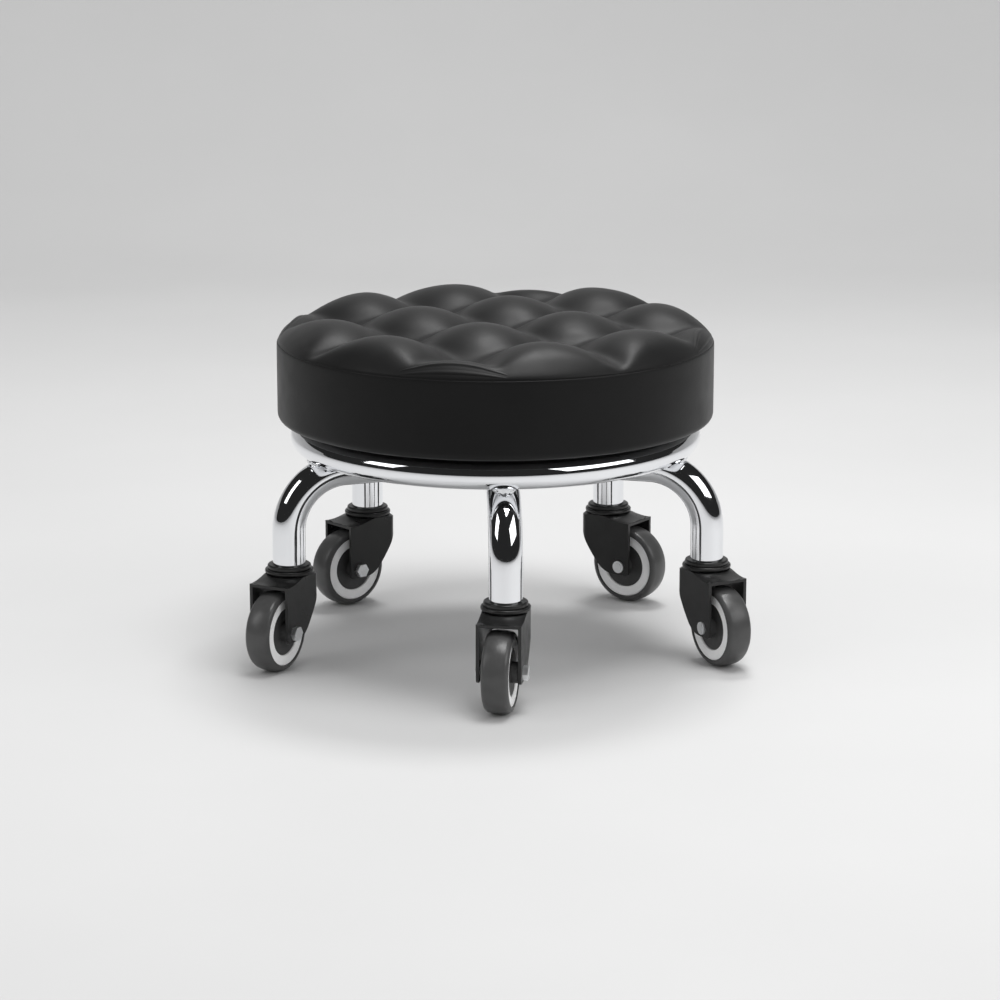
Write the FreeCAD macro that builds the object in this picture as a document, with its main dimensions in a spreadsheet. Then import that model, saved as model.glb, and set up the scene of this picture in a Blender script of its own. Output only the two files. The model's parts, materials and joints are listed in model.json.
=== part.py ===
"""Low rolling stool: a tufted round seat that turns on a ball-bearing swivel, carried by five bent tube legs
that a ring ties together, each leg on a swivelling caster. Millimetres, +Z up, floor at Z = 0, seat axis on Z,
leg 1 towards -Y."""

import FreeCAD
import Part
import Sketcher
import math
import os
from types import SimpleNamespace

LEG_COUNT = 5
TUFTS_ACROSS = 4
SWIVEL_BALL_COUNT = 8
CASTER_BALL_COUNT = 6

DIMENSIONS = {
    # Seat cushion
    "seat_diameter": 340.0,
    "seat_side_height": 60.6,
    "seat_edge_radius": 5.0,
    "seat_wrap_width": 28.0,
    "cover_thickness": 1.5,
    "cover_clearance": 0.3,
    "board_thickness": 15.0,
    "tuft_pitch": 80.2,
    "tuft_dip": 11.8,
    "tuft_floor": 1.0,
    "tuft_turn": 33.0,
    "crown_rise": 22.7,
    "crown_fall": 11.3,
    "crown_headroom": 2.0,
    "rim_roll_width": 43.0,
    "rim_roll_height": 20.5,
    # Fasteners of the seat and the swivel
    "bolt_diameter": 6.0,
    "bolt_head_diameter": 11.0,
    "bolt_head_height": 3.5,
    "bolt_clearance": 0.3,
    "tee_barrel_diameter": 8.0,
    "tee_flange_diameter": 19.0,
    "tee_flange_thickness": 1.5,
    "tee_length": 11.0,
    # Seat swivel
    "swivel_size": 150.0,
    "swivel_corner_radius": 12.0,
    "swivel_height": 15.7,
    "swivel_sheet": 2.5,
    "swivel_bolt_spacing": 112.0,
    "swivel_race_radius": 46.0,
    "swivel_hat_margin": 11.0,
    "swivel_ball_diameter": 8.0,
    "swivel_race_gap": 0.8,
    "eyelet_diameter": 30.0,
    "eyelet_wall": 2.5,
    "eyelet_flange_width": 6.0,
    "eyelet_flange_thickness": 1.5,
    # Frame
    "leg_circle_radius": 170.0,
    "leg_drop": 71.0,
    "leg_bend_radius": 46.0,
    "tube_diameter": 25.4,
    "tube_wall": 1.5,
    "ring_circle_radius": 149.2,
    "ring_tube_diameter": 22.2,
    "ring_wall": 1.5,
    "weld_gap": 0.3,
    "weld_radius": 8.5,
    "ring_seat_clearance": 1.5,
    "hub_plate_diameter": 180.0,
    "hub_plate_thickness": 5.0,
    "hub_core_wall": 4.0,
    "hub_core_reach": 3.0,
    "leg_end_gap": 0.9,
    "insert_bend_clearance": 1.0,
    # Casters
    "caster_trail": 21.7,
    "wheel_diameter": 62.5,
    "wheel_width": 20.6,
    "tread_width": 14.4,
    "tread_crown": 0.9,
    "shoulder_bulge": 0.886,
    "core_diameter": 52.4,
    "core_width": 18.6,
    "hub_recess_diameter": 36.4,
    "hub_recess_depth": 2.6,
    "hub_boss_diameter": 15.0,
    "hub_cover_thickness": 1.7,
    "edge_chamfer": 0.6,
    "sleeve_diameter": 9.0,
    "axle_diameter": 6.0,
    "axle_head_width": 10.0,
    "axle_head_height": 4.0,
    "axle_ring_diameter": 10.0,
    "axle_ring_thickness": 1.2,
    "axle_end": 0.3,
    "wheel_side_clearance": 4.2,
    "wheel_top_clearance": 4.0,
    "wheel_end_play": 0.2,
    "fork_wall": 2.5,
    "fork_edge": 9.5,
    "fork_back": 16.5,
    "fork_foot": 7.2,
    "fork_foot_radius": 2.5,
    "fork_corner_radius": 6.0,
    "fork_taper_rise": 27.0,
    "fork_taper_reach": 20.5,
    "fork_window_width": 16.0,
    "neck_rise": 3.4,
    "neck_diameter": 36.0,
    "flare_diameter": 74.0,
    "caster_race_radius": 13.0,
    "caster_ball_diameter": 4.8,
    "caster_race_gap": 0.6,
    "cap_height": 7.0,
    "cap_diameter": 37.6,
    "cap_step": 2.0,
    "stem_diameter": 11.0,
    "stem_reach": 21.0,
    "stem_head_diameter": 18.0,
    "stem_head_height": 3.0,
    # Fits
    "running_clearance": 0.05,
    "seat_fit_clearance": 0.1,
    "axial_play": 0.1,
    # Turn of each caster from straight outwards, in degrees
    "caster_turn_1": -12.6,
    "caster_turn_2": -46.2,
    "caster_turn_3": -91.9,
    "caster_turn_4": 92.3,
    "caster_turn_5": 42.1,
}


class Size:
    """A number from the sheet, or worked out from such numbers, with the expression that gives it."""

    def __init__(self, value, text):
        self.value = value
        self.text = text

    def __add__(self, other):
        other = as_size(other)
        return Size(self.value + other.value, f"({self.text} + {other.text})")

    def __sub__(self, other):
        other = as_size(other)
        return Size(self.value - other.value, f"({self.text} - {other.text})")

    def __mul__(self, other):
        other = as_size(other)
        return Size(self.value * other.value, f"({self.text} * {other.text})")

    def __rmul__(self, other):
        return self * other

    def __truediv__(self, other):
        other = as_size(other)
        return Size(self.value / other.value, f"({self.text} / {other.text})")

    def __neg__(self):
        return as_size(0) - self

    def root(self):
        return Size(math.sqrt(self.value), f"sqrt({self.text})")


def as_size(number):
    if isinstance(number, Size):
        return number
    return Size(float(number), f"{float(number):.9g}")


def leg_of_triangle(longest, other):
    """The third side of a right triangle."""
    return (longest * longest - other * other).root()


def larger(first, second):
    first, second = as_size(first), as_size(second)
    return Size(max(first.value, second.value), f"max({first.text}; {second.text})")


# The document and its sheet

doc = FreeCAD.newDocument("rolling_stool")
sheet = doc.addObject("Spreadsheet::Sheet", "dims")
for row, (alias, number) in enumerate(DIMENSIONS.items(), start=1):
    sheet.set(f"A{row}", alias)
    sheet.set(f"B{row}", str(number))
    sheet.setAlias(f"B{row}", alias)
doc.recompute()
dim = SimpleNamespace(**{alias: Size(float(sheet.get(alias)), f"dims.{alias}") for alias in DIMENSIONS})
nodes = []


# Levels and radii that several pieces share

axle_height = dim.wheel_diameter / 2
fork_roof = dim.wheel_diameter + dim.wheel_top_clearance
fork_top = fork_roof + dim.fork_wall
neck_top = fork_top + dim.neck_rise
cap_bottom = neck_top + dim.caster_race_gap
leg_end = cap_bottom + dim.cap_height
leg_run = leg_end + dim.leg_drop
tube_radius = dim.tube_diameter / 2
tube_bore = tube_radius - dim.tube_wall
leg_top = leg_run + tube_radius
bend_start = dim.leg_circle_radius - dim.leg_bend_radius
bend_level = leg_run - dim.leg_bend_radius
ring_tube_radius = dim.ring_tube_diameter / 2
ring_to_bend = dim.leg_bend_radius + tube_radius + ring_tube_radius + dim.weld_gap
ring_past_bend_start = larger(dim.ring_circle_radius - bend_start, 0)
ring_level = bend_level + leg_of_triangle(ring_to_bend, ring_past_bend_start)
ring_top = ring_level + ring_tube_radius
hub_radius = tube_radius / math.sin(math.pi / LEG_COUNT) + dim.leg_end_gap
swivel_bottom = leg_top + dim.hub_plate_thickness
swivel_height = larger(dim.swivel_height, ring_top + dim.ring_seat_clearance - swivel_bottom)
swivel_middle = swivel_bottom + swivel_height / 2
seat_bottom = swivel_bottom + swivel_height
board_bottom = seat_bottom + dim.cover_thickness
board_top = board_bottom + dim.board_thickness
seat_rim = seat_bottom + dim.seat_side_height
seat_radius = dim.seat_diameter / 2
stem_radius = dim.stem_diameter / 2
fork_half = dim.wheel_width / 2 + dim.wheel_side_clearance + dim.fork_wall
fork_inside = fork_half - dim.fork_wall
caster_race_level = neck_top + dim.caster_race_gap / 2
bolt_radius = dim.bolt_diameter / 2
bolt_hole = bolt_radius + dim.bolt_clearance
bolt_reach = dim.swivel_bolt_spacing / 2
SQUARE = [(across, along) for across in (-1, 1) for along in (-1, 1)]


# Sketches and features

def new_body(label):
    body = doc.addObject("PartDesign::Body", label)
    body.Label = label
    return body


def new_sketch(body, name, role, lift=None):
    """An empty sketch on one of the body's own planes, lifted off it along its normal."""
    sketch = body.newObject("Sketcher::SketchObject", f"{body.Name}_{name}")
    plane = next(feature for feature in body.Origin.OriginFeatures if feature.Role == role)
    sketch.AttachmentSupport = [(plane, "")]
    sketch.MapMode = "FlatFace"
    if lift is not None:
        sketch.setExpression("AttachmentOffset.Base.z", lift.text)
    return sketch


def vector(spot):
    across, along = spot
    return FreeCAD.Vector(as_size(across).value, as_size(along).value, 0)


def bind(sketch, constraint, size):
    """Adds a constraint and ties its number to the sheet."""
    index = sketch.addConstraint(constraint)
    name = f"size_{index}"
    sketch.renameConstraint(index, name)
    sketch.setExpression(f"Constraints.{name}", size.text)


def pin(sketch, curve, end, spot):
    for kind, number in zip(("DistanceX", "DistanceY"), spot):
        size = as_size(number)
        bind(sketch, Sketcher.Constraint(kind, -1, 1, curve, end, size.value), size)


def draw_outline(sketch, points):
    """A closed outline. A point is (across, along), or (across, along, middle) to reach it by an arc."""
    spots = [point[:2] for point in points]
    ends = []
    for index, point in enumerate(points):
        start, finish = vector(spots[index - 1]), vector(spots[index])
        if len(point) == 2:
            curve = sketch.addGeometry(Part.LineSegment(start, finish))
        else:
            curve = sketch.addGeometry(Part.Arc(start, vector(point[2]), finish))
            marker = sketch.addGeometry(Part.Point(vector(point[2])), True)
            pin(sketch, marker, 1, point[2])
            sketch.addConstraint(Sketcher.Constraint("PointOnObject", marker, 1, curve))
        forward = sketch.getPoint(curve, 1).isEqual(start, 1e-6)
        ends.append((curve, 1, 2) if forward else (curve, 2, 1))
    for index, (curve, first, last) in enumerate(ends):
        before, _, joint = ends[index - 1]
        sketch.addConstraint(Sketcher.Constraint("Coincident", before, joint, curve, first))
        pin(sketch, curve, last, spots[index])


def draw_circle(sketch, centre, radius):
    curve = sketch.addGeometry(Part.Circle(vector(centre), FreeCAD.Vector(0, 0, 1), radius.value))
    pin(sketch, curve, 3, centre)
    bind(sketch, Sketcher.Constraint("Radius", curve, radius.value), radius)


def outline(body, name, role, points, lift=None):
    sketch = new_sketch(body, name, role, lift)
    draw_outline(sketch, points)
    return sketch


def circles(body, name, role, centres, radius, lift=None):
    sketch = new_sketch(body, name, role, lift)
    for centre in centres:
        draw_circle(sketch, centre, radius)
    return sketch


def add_feature(body, kind, sketch):
    feature = body.newObject(kind, f"{sketch.Name}_{kind.split('::')[1]}")
    feature.Profile = sketch
    return feature


def require_cut(feature):
    """Stops the build if a cutting feature took nothing away."""
    doc.recompute()
    if feature.Shape.Volume >= feature.BaseFeature.Shape.Volume:
        raise ValueError(f"{feature.Name} cuts nothing")


def turn(body, sketch):
    """Turns a sketch about its upright axis into a solid."""
    feature = add_feature(body, "PartDesign::Revolution", sketch)
    feature.ReferenceAxis = (sketch, ["V_Axis"])


def turn_away(body, sketch):
    feature = add_feature(body, "PartDesign::Groove", sketch)
    feature.ReferenceAxis = (sketch, ["V_Axis"])
    require_cut(feature)


def pad(body, sketch, length):
    feature = add_feature(body, "PartDesign::Pad", sketch)
    feature.setExpression("Length", length.text)


def cut_through(body, sketch, side="Symmetric"):
    feature = add_feature(body, "PartDesign::Pocket", sketch)
    feature.Type = "ThroughAll"
    feature.SideType = side
    require_cut(feature)


def cut_down(body, sketch, depth):
    """Cuts from the sketch's plane against its normal."""
    feature = add_feature(body, "PartDesign::Pocket", sketch)
    feature.setExpression("Length", depth.text)
    require_cut(feature)


def turned(label, points, role="XZ_Plane"):
    """A body turned from one outline of (radius, level) points."""
    body = new_body(label)
    turn(body, outline(body, "section", role, points))
    doc.recompute()
    return body


def keep(item):
    """Marks an object of the document as a piece of the stool."""
    nodes.append(item)
    return item


def solid_node(label, shape):
    feature = doc.addObject("Part::Feature", label)
    feature.Label = label
    feature.Shape = shape
    return keep(feature)


def group(label, placed):
    """One node of separate like solids, from pairs of a body and its placements."""
    copies = []
    for body, placements in placed:
        for placement in placements:
            copy = body.Shape.copy()
            copy.Placement = placement.multiply(copy.Placement)
            copies.append(copy)
    return solid_node(label, Part.makeCompound(copies))


def place(across=0.0, along=0.0, up=0.0, turn_degrees=0.0):
    axis = FreeCAD.Vector(0, 0, 1)
    return FreeCAD.Placement(FreeCAD.Vector(across, along, up), FreeCAD.Rotation(axis, turn_degrees))


def corner_arc(centre_across, centre_along, radius, side_across, side_along):
    """The middle point of a rounded corner."""
    share = math.sqrt(0.5)
    return (centre_across + radius * share * side_across, centre_along + radius * share * side_along)


def leg_angle(index):
    return -90.0 + 360.0 * (index - 1) / LEG_COUNT


def leg_placement(index):
    return place(turn_degrees=leg_angle(index))


def caster_placement(index):
    """The caster's own frame: +Z is the stem's axis and +X the way that the wheel trails."""
    turn_degrees = leg_angle(index) + getattr(dim, f"caster_turn_{index}").value
    reach = leg_placement(index).multVec(FreeCAD.Vector(dim.leg_circle_radius.value, 0, 0))
    return place(reach.x, reach.y, 0.0, turn_degrees)


def wheel_placement(index):
    """The wheel's own frame: +Y is the axle."""
    return caster_placement(index).multiply(place(dim.caster_trail.value, 0.0, axle_height.value))


LEGS = range(1, LEG_COUNT + 1)
CASTERS = [caster_placement(index) for index in LEGS]


# Seat cushion

def tufted_form(inset, floor):
    """The cushion's top as a solid: equal domes on a square grid over a crowned disc, all drawn in by inset."""
    pitch = dim.tuft_pitch.value
    dip = dim.tuft_dip.value
    dome_radius = (pitch * pitch / 4 + dip * dip) / (2 * dip)
    rim = seat_rim.value
    radius = seat_radius.value
    domes = []
    for column in range(TUFTS_ACROSS):
        for line in range(TUFTS_ACROSS):
            across = (column - (TUFTS_ACROSS - 1) / 2) * pitch
            along = (line - (TUFTS_ACROSS - 1) / 2) * pitch
            crest = rim + dim.crown_rise.value - dim.crown_fall.value * (math.hypot(across, along) / radius) ** 5
            domes.append(Part.makeSphere(dome_radius - inset, FreeCAD.Vector(across, along, crest - dome_radius)))
    level = rim + dim.tuft_floor.value - inset
    disc = Part.makeCylinder(radius, level - floor, FreeCAD.Vector(0, 0, floor))
    domed = disc.multiFuse(domes)
    domed.Placement = place(turn_degrees=dim.tuft_turn.value)
    return domed.common(crown_envelope(inset, floor))


def crown_envelope(inset, floor):
    """A disc with a rolled rim and a crowned top, which bounds the domes."""
    edge = seat_radius.value - inset
    shoulder = seat_radius.value - dim.rim_roll_width.value
    roll_top = seat_rim.value + dim.rim_roll_height.value - inset
    peak = seat_rim.value + dim.crown_rise.value + dim.crown_headroom.value - inset
    rim = seat_rim.value
    roll_radius = ((edge - shoulder) ** 2 + (roll_top - rim) ** 2) / (2 * (roll_top - rim))
    roll_half = math.asin((edge - shoulder) / roll_radius) / 2
    roll_across = shoulder + roll_radius * math.sin(roll_half)
    roll_middle = FreeCAD.Vector(roll_across, 0, roll_top - roll_radius * (1 - math.cos(roll_half)))
    crown_middle = FreeCAD.Vector(shoulder / 2, 0, peak - (peak - roll_top) / 4)
    low_centre = FreeCAD.Vector(0, 0, floor)
    low_edge = FreeCAD.Vector(edge, 0, floor)
    rim_edge = FreeCAD.Vector(edge, 0, rim)
    roll_end = FreeCAD.Vector(shoulder, 0, roll_top)
    top_centre = FreeCAD.Vector(0, 0, peak)
    edges = [
        Part.makeLine(low_centre, low_edge),
        Part.Arc(rim_edge, roll_middle, roll_end).toShape(),
        Part.Arc(roll_end, crown_middle, top_centre).toShape(),
        Part.makeLine(top_centre, low_centre),
    ]
    if floor < rim:
        edges.insert(1, Part.makeLine(low_edge, rim_edge))
    return Part.Face(Part.Wire(edges)).revolve(FreeCAD.Vector(0, 0, 0), FreeCAD.Vector(0, 0, 1), 360)


def one_solid(shape):
    if len(shape.Solids) != 1:
        raise ValueError(f"expected one solid, got {len(shape.Solids)}")
    return shape.Solids[0]


def seat_top_cover():
    """The tufted vinyl top, a skin sewn to the side band at the rim."""
    skin = dim.cover_thickness.value
    outside = tufted_form(0.0, seat_rim.value)
    inside = tufted_form(skin, seat_rim.value - 2 * skin)
    solid_node("seat_top_cover", one_solid(outside.cut(inside)))


def seat_foam():
    gap = dim.cover_thickness.value + dim.cover_clearance.value
    solid_node("seat_foam", one_solid(tufted_form(gap, board_top.value)))


def seat_side_band():
    """The upright vinyl band, rounded at the foot and folded in under the board."""
    skin = dim.cover_thickness
    edge = dim.seat_edge_radius
    inside = seat_radius - skin
    centre_across = seat_radius - edge
    centre_level = seat_bottom + edge
    fold = seat_radius - dim.seat_wrap_width
    outer_middle = corner_arc(centre_across, centre_level, edge, 1, -1)
    inner_middle = corner_arc(centre_across, centre_level, edge - skin, 1, -1)
    keep(turned("seat_side_band", [
        (seat_radius, seat_rim),
        (inside, seat_rim),
        (inside, centre_level),
        (centre_across, board_bottom, inner_middle),
        (fold, board_bottom),
        (fold, seat_bottom),
        (centre_across, seat_bottom),
        (seat_radius, centre_level, outer_middle),
    ]))


def bolt_places():
    return [(bolt_reach * across, bolt_reach * along) for across, along in SQUARE]


def seat_board():
    """Plywood disc with counterbored holes for the tee nuts."""
    radius = seat_radius - dim.cover_thickness - dim.cover_clearance
    edge = dim.seat_edge_radius - dim.cover_thickness
    middle = corner_arc(radius - edge, board_bottom + edge, edge, 1, -1)
    body = turned("seat_board", [
        (0, board_bottom),
        (radius - edge, board_bottom),
        (radius, board_bottom + edge, middle),
        (radius, board_top),
        (0, board_top),
    ])
    barrel = dim.tee_barrel_diameter / 2 + dim.seat_fit_clearance
    flange = dim.tee_flange_diameter / 2 + dim.seat_fit_clearance
    cut_through(body, circles(body, "barrels", "XY_Plane", bolt_places(), barrel))
    sinks = circles(body, "flanges", "XY_Plane", bolt_places(), flange, board_top)
    cut_down(body, sinks, dim.tee_flange_thickness)
    keep(body)


def seat_dust_cover():
    """Black cloth disc inside the folded vinyl, clamped under the swivel."""
    radius = seat_radius - dim.seat_wrap_width - dim.cover_clearance
    body = turned("seat_dust_cover", [
        (0, seat_bottom),
        (radius, seat_bottom),
        (radius, board_bottom),
        (0, board_bottom),
    ])
    cut_through(body, circles(body, "bolts", "XY_Plane", bolt_places(), bolt_hole))
    keep(body)


# Fasteners of the seat and the swivel

def round_bolt(label, length):
    """A bolt with a domed round head, its head's seat at the origin and its shank down -Z."""
    head = dim.bolt_head_diameter / 2
    rise = dim.bolt_head_height / 2
    crown = head - rise
    middle = corner_arc(crown, dim.bolt_head_height - rise, rise, 1, 1)
    return turned(label, [
        (0, -length),
        (bolt_radius, -length),
        (bolt_radius, 0),
        (head, 0),
        (head, dim.bolt_head_height - rise),
        (crown, dim.bolt_head_height, middle),
        (0, dim.bolt_head_height),
    ])


def seat_fasteners():
    tip_room = 2 * dim.tee_flange_thickness
    seat_bolt = round_bolt("single_seat_bolt", dim.swivel_sheet + board_top - seat_bottom - tip_room)
    frame_bolt = round_bolt("single_frame_bolt", dim.swivel_sheet + dim.hub_plate_thickness)
    barrel = dim.tee_barrel_diameter / 2
    flange = dim.tee_flange_diameter / 2
    thread = bolt_radius + dim.seat_fit_clearance
    flange_level = board_top - dim.tee_flange_thickness
    tee_nut = turned("single_tee_nut", [
        (thread, board_top - dim.tee_length),
        (barrel, board_top - dim.tee_length),
        (barrel, flange_level),
        (flange, flange_level),
        (flange, board_top),
        (thread, board_top),
    ])
    upside_down = FreeCAD.Rotation(FreeCAD.Vector(1, 0, 0), 180)
    seat_level = (seat_bottom - dim.swivel_sheet).value
    frame_level = (swivel_bottom + dim.swivel_sheet).value
    corners = [(across.value, along.value) for across, along in bolt_places()]
    group("seat_bolts", [(seat_bolt, [
        FreeCAD.Placement(FreeCAD.Vector(across, along, seat_level), upside_down) for across, along in corners
    ])])
    group("frame_bolts", [(frame_bolt, [place(across, along, frame_level) for across, along in corners])])
    group("seat_tee_nuts", [(tee_nut, [place(across, along) for across, along in corners])])


# Seat swivel

def swivel_plate(label, side):
    """A pressed square plate with a ball groove in its raised middle. Side is 1 above the balls, -1 below."""
    sheet_depth = dim.swivel_sheet
    half = swivel_height / 2
    face = dim.swivel_race_gap / 2
    race = dim.swivel_race_radius
    groove = dim.swivel_ball_diameter / 2 + dim.running_clearance
    groove_half = leg_of_triangle(groove, face)
    back_half = leg_of_triangle(groove + sheet_depth, face + sheet_depth)
    hat_edge = race + dim.swivel_hat_margin
    hat_foot = hat_edge + half - sheet_depth - face
    lean = sheet_depth * math.tan(math.pi / 8)
    flange = hat_foot + 2 * sheet_depth
    bore = dim.eyelet_diameter / 2

    def level(off_middle):
        return swivel_middle + off_middle * side

    body = turned(label, [
        (bore, level(face)),
        (race - groove_half, level(face)),
        (race + groove_half, level(face), (race, level(groove))),
        (hat_edge, level(face)),
        (hat_foot, level(half - sheet_depth)),
        (flange, level(half - sheet_depth)),
        (flange, level(half)),
        (hat_foot - lean, level(half)),
        (hat_edge - lean, level(face + sheet_depth)),
        (race + back_half, level(face + sheet_depth)),
        (race - back_half, level(face + sheet_depth), (race, level(groove + sheet_depth))),
        (bore, level(face + sheet_depth)),
    ])
    reach = dim.swivel_size / 2
    flat = reach - dim.swivel_corner_radius
    points = []
    for across, along, turn_first in ((1, 1, True), (-1, 1, False), (-1, -1, True), (1, -1, False)):
        middle = corner_arc(flat * across, flat * along, dim.swivel_corner_radius, across, along)
        upright = (reach * across, flat * along)
        level_side = (flat * across, reach * along)
        entry, leave = (upright, level_side) if turn_first else (level_side, upright)
        points.append(entry)
        points.append((*leave, middle))
    lower_face = level(half) - sheet_depth if side > 0 else level(half)
    square = outline(body, "square", "XY_Plane", points, lower_face)
    draw_circle(square, (0, 0), hat_foot + sheet_depth)
    pad(body, square, sheet_depth)
    cut_through(body, circles(body, "bolts", "XY_Plane", bolt_places(), bolt_hole))
    keep(body)


def swivel_eyelet():
    """The flanged centre tube that holds the two plates together."""
    outside = dim.eyelet_diameter / 2 - dim.running_clearance
    inside = outside - dim.eyelet_wall
    flange = outside + dim.eyelet_flange_width
    inner = dim.swivel_race_gap / 2 + dim.swivel_sheet + dim.axial_play
    outer = inner + dim.eyelet_flange_thickness
    keep(turned("swivel_eyelet", [
        (inside, swivel_middle - outer),
        (flange, swivel_middle - outer),
        (flange, swivel_middle - inner),
        (outside, swivel_middle - inner),
        (outside, swivel_middle + inner),
        (flange, swivel_middle + inner),
        (flange, swivel_middle + outer),
        (inside, swivel_middle + outer),
    ]))


def bearing_ball(label, diameter):
    ball = doc.addObject("Part::Sphere", label)
    ball.setExpression("Radius", (diameter / 2).text)
    doc.recompute()
    return ball


def around(count, radius, level):
    """Places spaced evenly round a circle."""
    places = []
    for index in range(count):
        angle = 2 * math.pi * index / count
        places.append(place(radius * math.cos(angle), radius * math.sin(angle), level))
    return places


def bearing_balls():
    """The balls of the seat swivel and of the five caster races."""
    seat_ball = bearing_ball("single_swivel_ball", dim.swivel_ball_diameter)
    caster_ball = bearing_ball("single_caster_ball", dim.caster_ball_diameter)
    in_swivel = around(SWIVEL_BALL_COUNT, dim.swivel_race_radius.value, swivel_middle.value)
    in_race = around(CASTER_BALL_COUNT, dim.caster_race_radius.value, caster_race_level.value)
    in_casters = [caster.multiply(spot) for caster in CASTERS for spot in in_race]
    group("bearing_balls", [(seat_ball, in_swivel), (caster_ball, in_casters)])


# Frame

def hub_plate():
    """Round plate on the legs that carries the swivel, with tapped holes for its bolts."""
    radius = dim.hub_plate_diameter / 2
    bore = dim.eyelet_diameter / 2
    body = turned("hub_plate", [
        (bore, leg_top),
        (radius, leg_top),
        (radius, swivel_bottom),
        (bore, swivel_bottom),
    ])
    tapped = bolt_radius + dim.seat_fit_clearance
    cut_through(body, circles(body, "bolts", "XY_Plane", bolt_places(), tapped))
    keep(body)


def hub_core():
    """Short upright tube that the five legs are welded round."""
    foot = leg_run - tube_radius - dim.hub_core_reach
    bore = hub_radius - dim.hub_core_wall
    keep(turned("hub_core", [(bore, foot), (hub_radius, foot), (hub_radius, leg_top), (bore, leg_top)]))


def leg(index):
    """A tube bent from level to upright, its inner end notched to fit round the hub core."""
    body = new_body(f"leg_{index}")
    inner_end = hub_radius / 2
    spine = new_sketch(body, "spine", "XZ_Plane")
    bend_end = (dim.leg_circle_radius, bend_level)
    bend_middle = corner_arc(bend_start, bend_level, dim.leg_bend_radius, 1, 1)
    level_run = spine.addGeometry(Part.LineSegment(vector((inner_end, leg_run)), vector((bend_start, leg_run))))
    bend = spine.addGeometry(Part.Arc(vector((bend_start, leg_run)), vector(bend_middle), vector(bend_end)))
    drop = spine.addGeometry(Part.LineSegment(vector(bend_end), vector((dim.leg_circle_radius, leg_end))))
    pin(spine, level_run, 1, (inner_end, leg_run))
    pin(spine, level_run, 2, (bend_start, leg_run))
    pin(spine, bend, 3, (bend_start, bend_level))
    spine.addConstraint(Sketcher.Constraint("Coincident", level_run, 2, bend, 2))
    spine.addConstraint(Sketcher.Constraint("Coincident", bend, 1, drop, 1))
    bind(spine, Sketcher.Constraint("DistanceY", -1, 1, drop, 1, bend_level.value), bend_level)
    pin(spine, drop, 2, (dim.leg_circle_radius, leg_end))
    section = circles(body, "section", "YZ_Plane", [(0, leg_run)], tube_radius, inner_end)
    draw_circle(section, (0, leg_run), tube_bore)
    tube = add_feature(body, "PartDesign::AdditivePipe", section)
    tube.Spine = spine
    notch = circles(body, "notch", "XY_Plane", [(0, 0)], hub_radius + dim.running_clearance)
    cut_through(body, notch)
    body.Placement = leg_placement(index)
    keep(body)


def torus(label, ring_radius, tube):
    shape = doc.addObject("Part::Torus", label)
    shape.setExpression("Radius1", ring_radius.text)
    shape.setExpression("Radius2", tube.text)
    shape.setExpression("Placement.Base.z", ring_level.text)
    return shape


def tie_ring():
    """The closed tube ring that rests on the legs' bends."""
    ring = doc.addObject("Part::Cut", "ring")
    ring.Label = "ring"
    ring.Base = torus("ring_outside", dim.ring_circle_radius, ring_tube_radius)
    ring.Tool = torus("ring_bore", dim.ring_circle_radius, ring_tube_radius - dim.ring_wall)
    doc.recompute()
    keep(ring)


def ring_welds():
    """Weld metal between the ring and each leg, where the ring rests on the start of the bend."""
    to_ring = FreeCAD.Vector(ring_past_bend_start.value, 0, (ring_level - bend_level).value)
    ring_spot = FreeCAD.Vector(dim.ring_circle_radius.value, 0, ring_level.value)
    touch = ring_spot - to_ring.normalize() * (ring_tube_radius + dim.weld_gap / 2).value
    bead = Part.makeSphere(dim.weld_radius.value, touch)
    up = FreeCAD.Vector(0, 0, 1)
    ring_centre = FreeCAD.Vector(0, 0, ring_level.value)
    ring_tube = Part.makeTorus(dim.ring_circle_radius.value, ring_tube_radius.value, ring_centre, up)
    sideways = FreeCAD.Vector(0, 1, 0)
    bend_centre = FreeCAD.Vector(bend_start.value, 0, bend_level.value)
    leg_bend = Part.makeTorus(dim.leg_bend_radius.value, tube_radius.value, bend_centre, sideways)
    hub_middle = FreeCAD.Vector(0, 0, leg_run.value)
    level_leg = Part.makeCylinder(tube_radius.value, bend_start.value, hub_middle, FreeCAD.Vector(1, 0, 0))
    bead = one_solid(bead.cut(ring_tube).cut(leg_bend).cut(level_leg))
    beads = []
    for index in LEGS:
        copy = bead.copy()
        copy.Placement = leg_placement(index).multiply(copy.Placement)
        beads.append(copy)
    solid_node("ring_welds", Part.makeCompound(beads))


# Casters: pieces fixed to the legs

def leg_inserts():
    """Plastic plugs in the legs' ends, up to the bend, that grip the caster stems."""
    bore = stem_radius + dim.seat_fit_clearance
    outside = tube_bore - dim.seat_fit_clearance
    top = bend_level - dim.insert_bend_clearance
    plug = turned("single_leg_insert", [(bore, leg_end), (outside, leg_end), (outside, top), (bore, top)])
    group("leg_inserts", [(plug, CASTERS)])


def caster_stems():
    """Stems riveted under the forks' necks, which the forks turn on."""
    head = dim.stem_head_diameter / 2
    head_top = fork_roof - dim.axial_play
    top = leg_end + dim.stem_reach
    lead = dim.stem_diameter / 10
    stem = turned("single_caster_stem", [
        (0, head_top - dim.stem_head_height),
        (head - lead, head_top - dim.stem_head_height),
        (head, head_top - dim.stem_head_height + lead),
        (head, head_top),
        (stem_radius, head_top),
        (stem_radius, top - lead),
        (stem_radius - lead, top),
        (0, top),
    ])
    group("caster_stems", [(stem, CASTERS)])


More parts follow.
